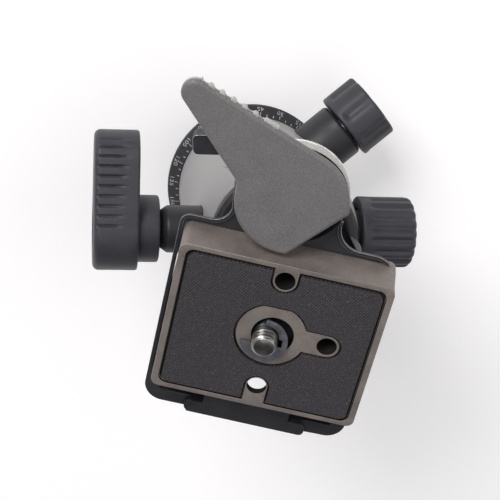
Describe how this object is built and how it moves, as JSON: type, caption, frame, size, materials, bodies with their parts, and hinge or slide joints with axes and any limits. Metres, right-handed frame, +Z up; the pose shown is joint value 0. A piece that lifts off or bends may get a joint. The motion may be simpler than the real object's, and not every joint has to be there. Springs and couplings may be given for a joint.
{
  "type": "tripod ball head",
  "caption": "Tripod ball head with panning base, domed housing, lock, friction and pan knobs, and a lever clamp holding a drop-in camera plate.",
  "frame": {"origin": "centre of the underside of the base, on the pan axis", "axes": "+Z up the pan axis, -X towards the lock knob, -Y towards the drop notch, +Y towards the clamp's lever"},
  "size_m": [0.0923, 0.0961, 0.135],
  "materials": {
    "black_paint": "satin powder coat",
    "grey_paint": "satin lacquer",
    "lever_grey": "fine textured grey lacquer",
    "plate_alloy": "bead blasted, dark anodised",
    "grip": "satin moulded",
    "steel": "turned",
    "black_steel": "black oxide",
    "chromed": "polished",
    "brass_slot": "turned",
    "pad": "fine grained",
    "nylon": "moulded"
  },
  "bodies": {
    "base": {"base_plate": "black_paint", "thread_bush": "steel", "scale_ring": "black_paint", "pan_washer": "nylon", "pan_retainer": "steel", "retainer_screws": "black_steel"},
    "housing": {"housing": "grey_paint", "mouth_collar": "black_paint", "seat_cup": "steel", "seat_spring": "steel", "lock_boss": "black_paint", "friction_boss": "black_paint", "pan_boss": "black_paint"},
    "lock_shoe": {"lock_shoe": "brass_slot"},
    "lock_knob": {"lock_knob": "grip", "lock_spindle": "steel", "lock_nut": "steel"},
    "friction_shoe": {"friction_shoe": "nylon", "friction_spring": "steel"},
    "friction_knob": {"friction_knob": "grip", "friction_spindle": "steel"},
    "pan_shoe": {"pan_shoe": "brass_slot"},
    "pan_knob": {"pan_knob": "grip", "pan_spindle": "steel"},
    "seat_liner": {"seat_liner": "nylon"},
    "ball": {"ball": "chromed"},
    "clamp": {"receiver": "black_paint", "clamp_screw": "black_steel", "lever_pivot": "steel", "lever_spring": "steel", "catch_plug": "steel", "catch_spring": "steel", "safety_pivot": "steel", "plate": "plate_alloy", "plate_pad": "pad"},
    "catch_pin": {"catch_pin": "brass_slot"},
    "lever": {"lever": "lever_grey"},
    "safety_catch": {"safety_catch": "black_paint"},
    "camera_screw": {"camera_screw": "steel", "screw_clip": "steel", "d_ring": "steel"}
  },
  "joints": [
    {"name": "pan", "type": "hinge", "parent": "base", "child": "housing", "pos_m": [0, 0, 0.0156], "axis": [0, 0, 1], "continuous": true},
    {"name": "ball_lean", "type": "hinge", "parent": "housing", "child": "seat_liner", "pos_m": [0, 0, 0.075], "axis": [0, 1, 0], "range_deg": [-18.5, 41.5]},
    {"name": "ball_tilt", "type": "hinge", "parent": "seat_liner", "child": "ball", "pos_m": [0, 0, 0.075], "axis": [0.9799, 0, 0.1994], "range_deg": [-46, 74]},
    {"name": "clamp_spin", "type": "hinge", "parent": "ball", "child": "clamp", "pos_m": [0, 0, 0.075], "axis": [-0.1916, -0.2756, 0.942], "continuous": true},
    {"name": "lever_swing", "type": "hinge", "parent": "clamp", "child": "lever", "pos_m": [-0.00641, 0.02354, 0.12517], "axis": [-0.1916, -0.2756, 0.942], "range_deg": [-75, 0], "stiffness_Nm_per_rad": 0.01, "springref_deg": 20.05},
    {"name": "catch_swing", "type": "hinge", "parent": "clamp", "child": "safety_catch", "pos_m": [-0.01297, 0.0344, 0.12171], "axis": [-0.1916, -0.2756, 0.942], "range_deg": [-20, 0], "stiffness_Nm_per_rad": 0.01, "springref_deg": 17.19},
    {"name": "catch_pin_slide", "type": "slide", "parent": "clamp", "child": "catch_pin", "axis": [-0.1916, -0.2756, 0.942], "range_m": [-0.0008, 0], "stiffness_N_per_m": 300, "springref_m": 0.002},
    {"name": "camera_screw_turn", "type": "hinge", "parent": "clamp", "child": "camera_screw", "pos_m": [-0.0105, -0.01282, 0.12113], "axis": [-0.1916, -0.2756, 0.942], "continuous": true},
    {"name": "lock_feed", "type": "slide", "parent": "housing", "child": "lock_shoe", "axis": [1, 0, 0], "range_m": [-0.00069, 0.000034]},
    {"name": "lock_turn", "type": "hinge", "parent": "lock_shoe", "child": "lock_knob", "pos_m": [-0.045, 0, 0.068], "axis": [1, 0, 0], "range_deg": [-200, 10]},
    {"name": "friction_feed", "type": "slide", "parent": "housing", "child": "friction_shoe", "axis": [-1, 0, 0], "range_m": [-0.000374, 0.000031]},
    {"name": "friction_turn", "type": "hinge", "parent": "friction_shoe", "child": "friction_knob", "pos_m": [0.03, 0, 0.068], "axis": [-1, 0, 0], "range_deg": [-180, 15]},
    {"name": "pan_feed", "type": "slide", "parent": "housing", "child": "pan_shoe", "axis": [-0.7547, -0.6561, 0], "range_m": [-0.000499, 0.000027]},
    {"name": "pan_turn", "type": "hinge", "parent": "pan_shoe", "child": "pan_knob", "pos_m": [0.03019, 0.02624, 0.027], "axis": [-0.7547, -0.6561, 0], "range_deg": [-180, 10]}
  ],
  "couplings": [
    {"joint": "lock_turn", "follows": "lock_feed", "rad_per_m": 5026.5},
    {"joint": "friction_turn", "follows": "friction_feed", "rad_per_m": 8377.6},
    {"joint": "pan_turn", "follows": "pan_feed", "rad_per_m": 6283.2}
  ]
}
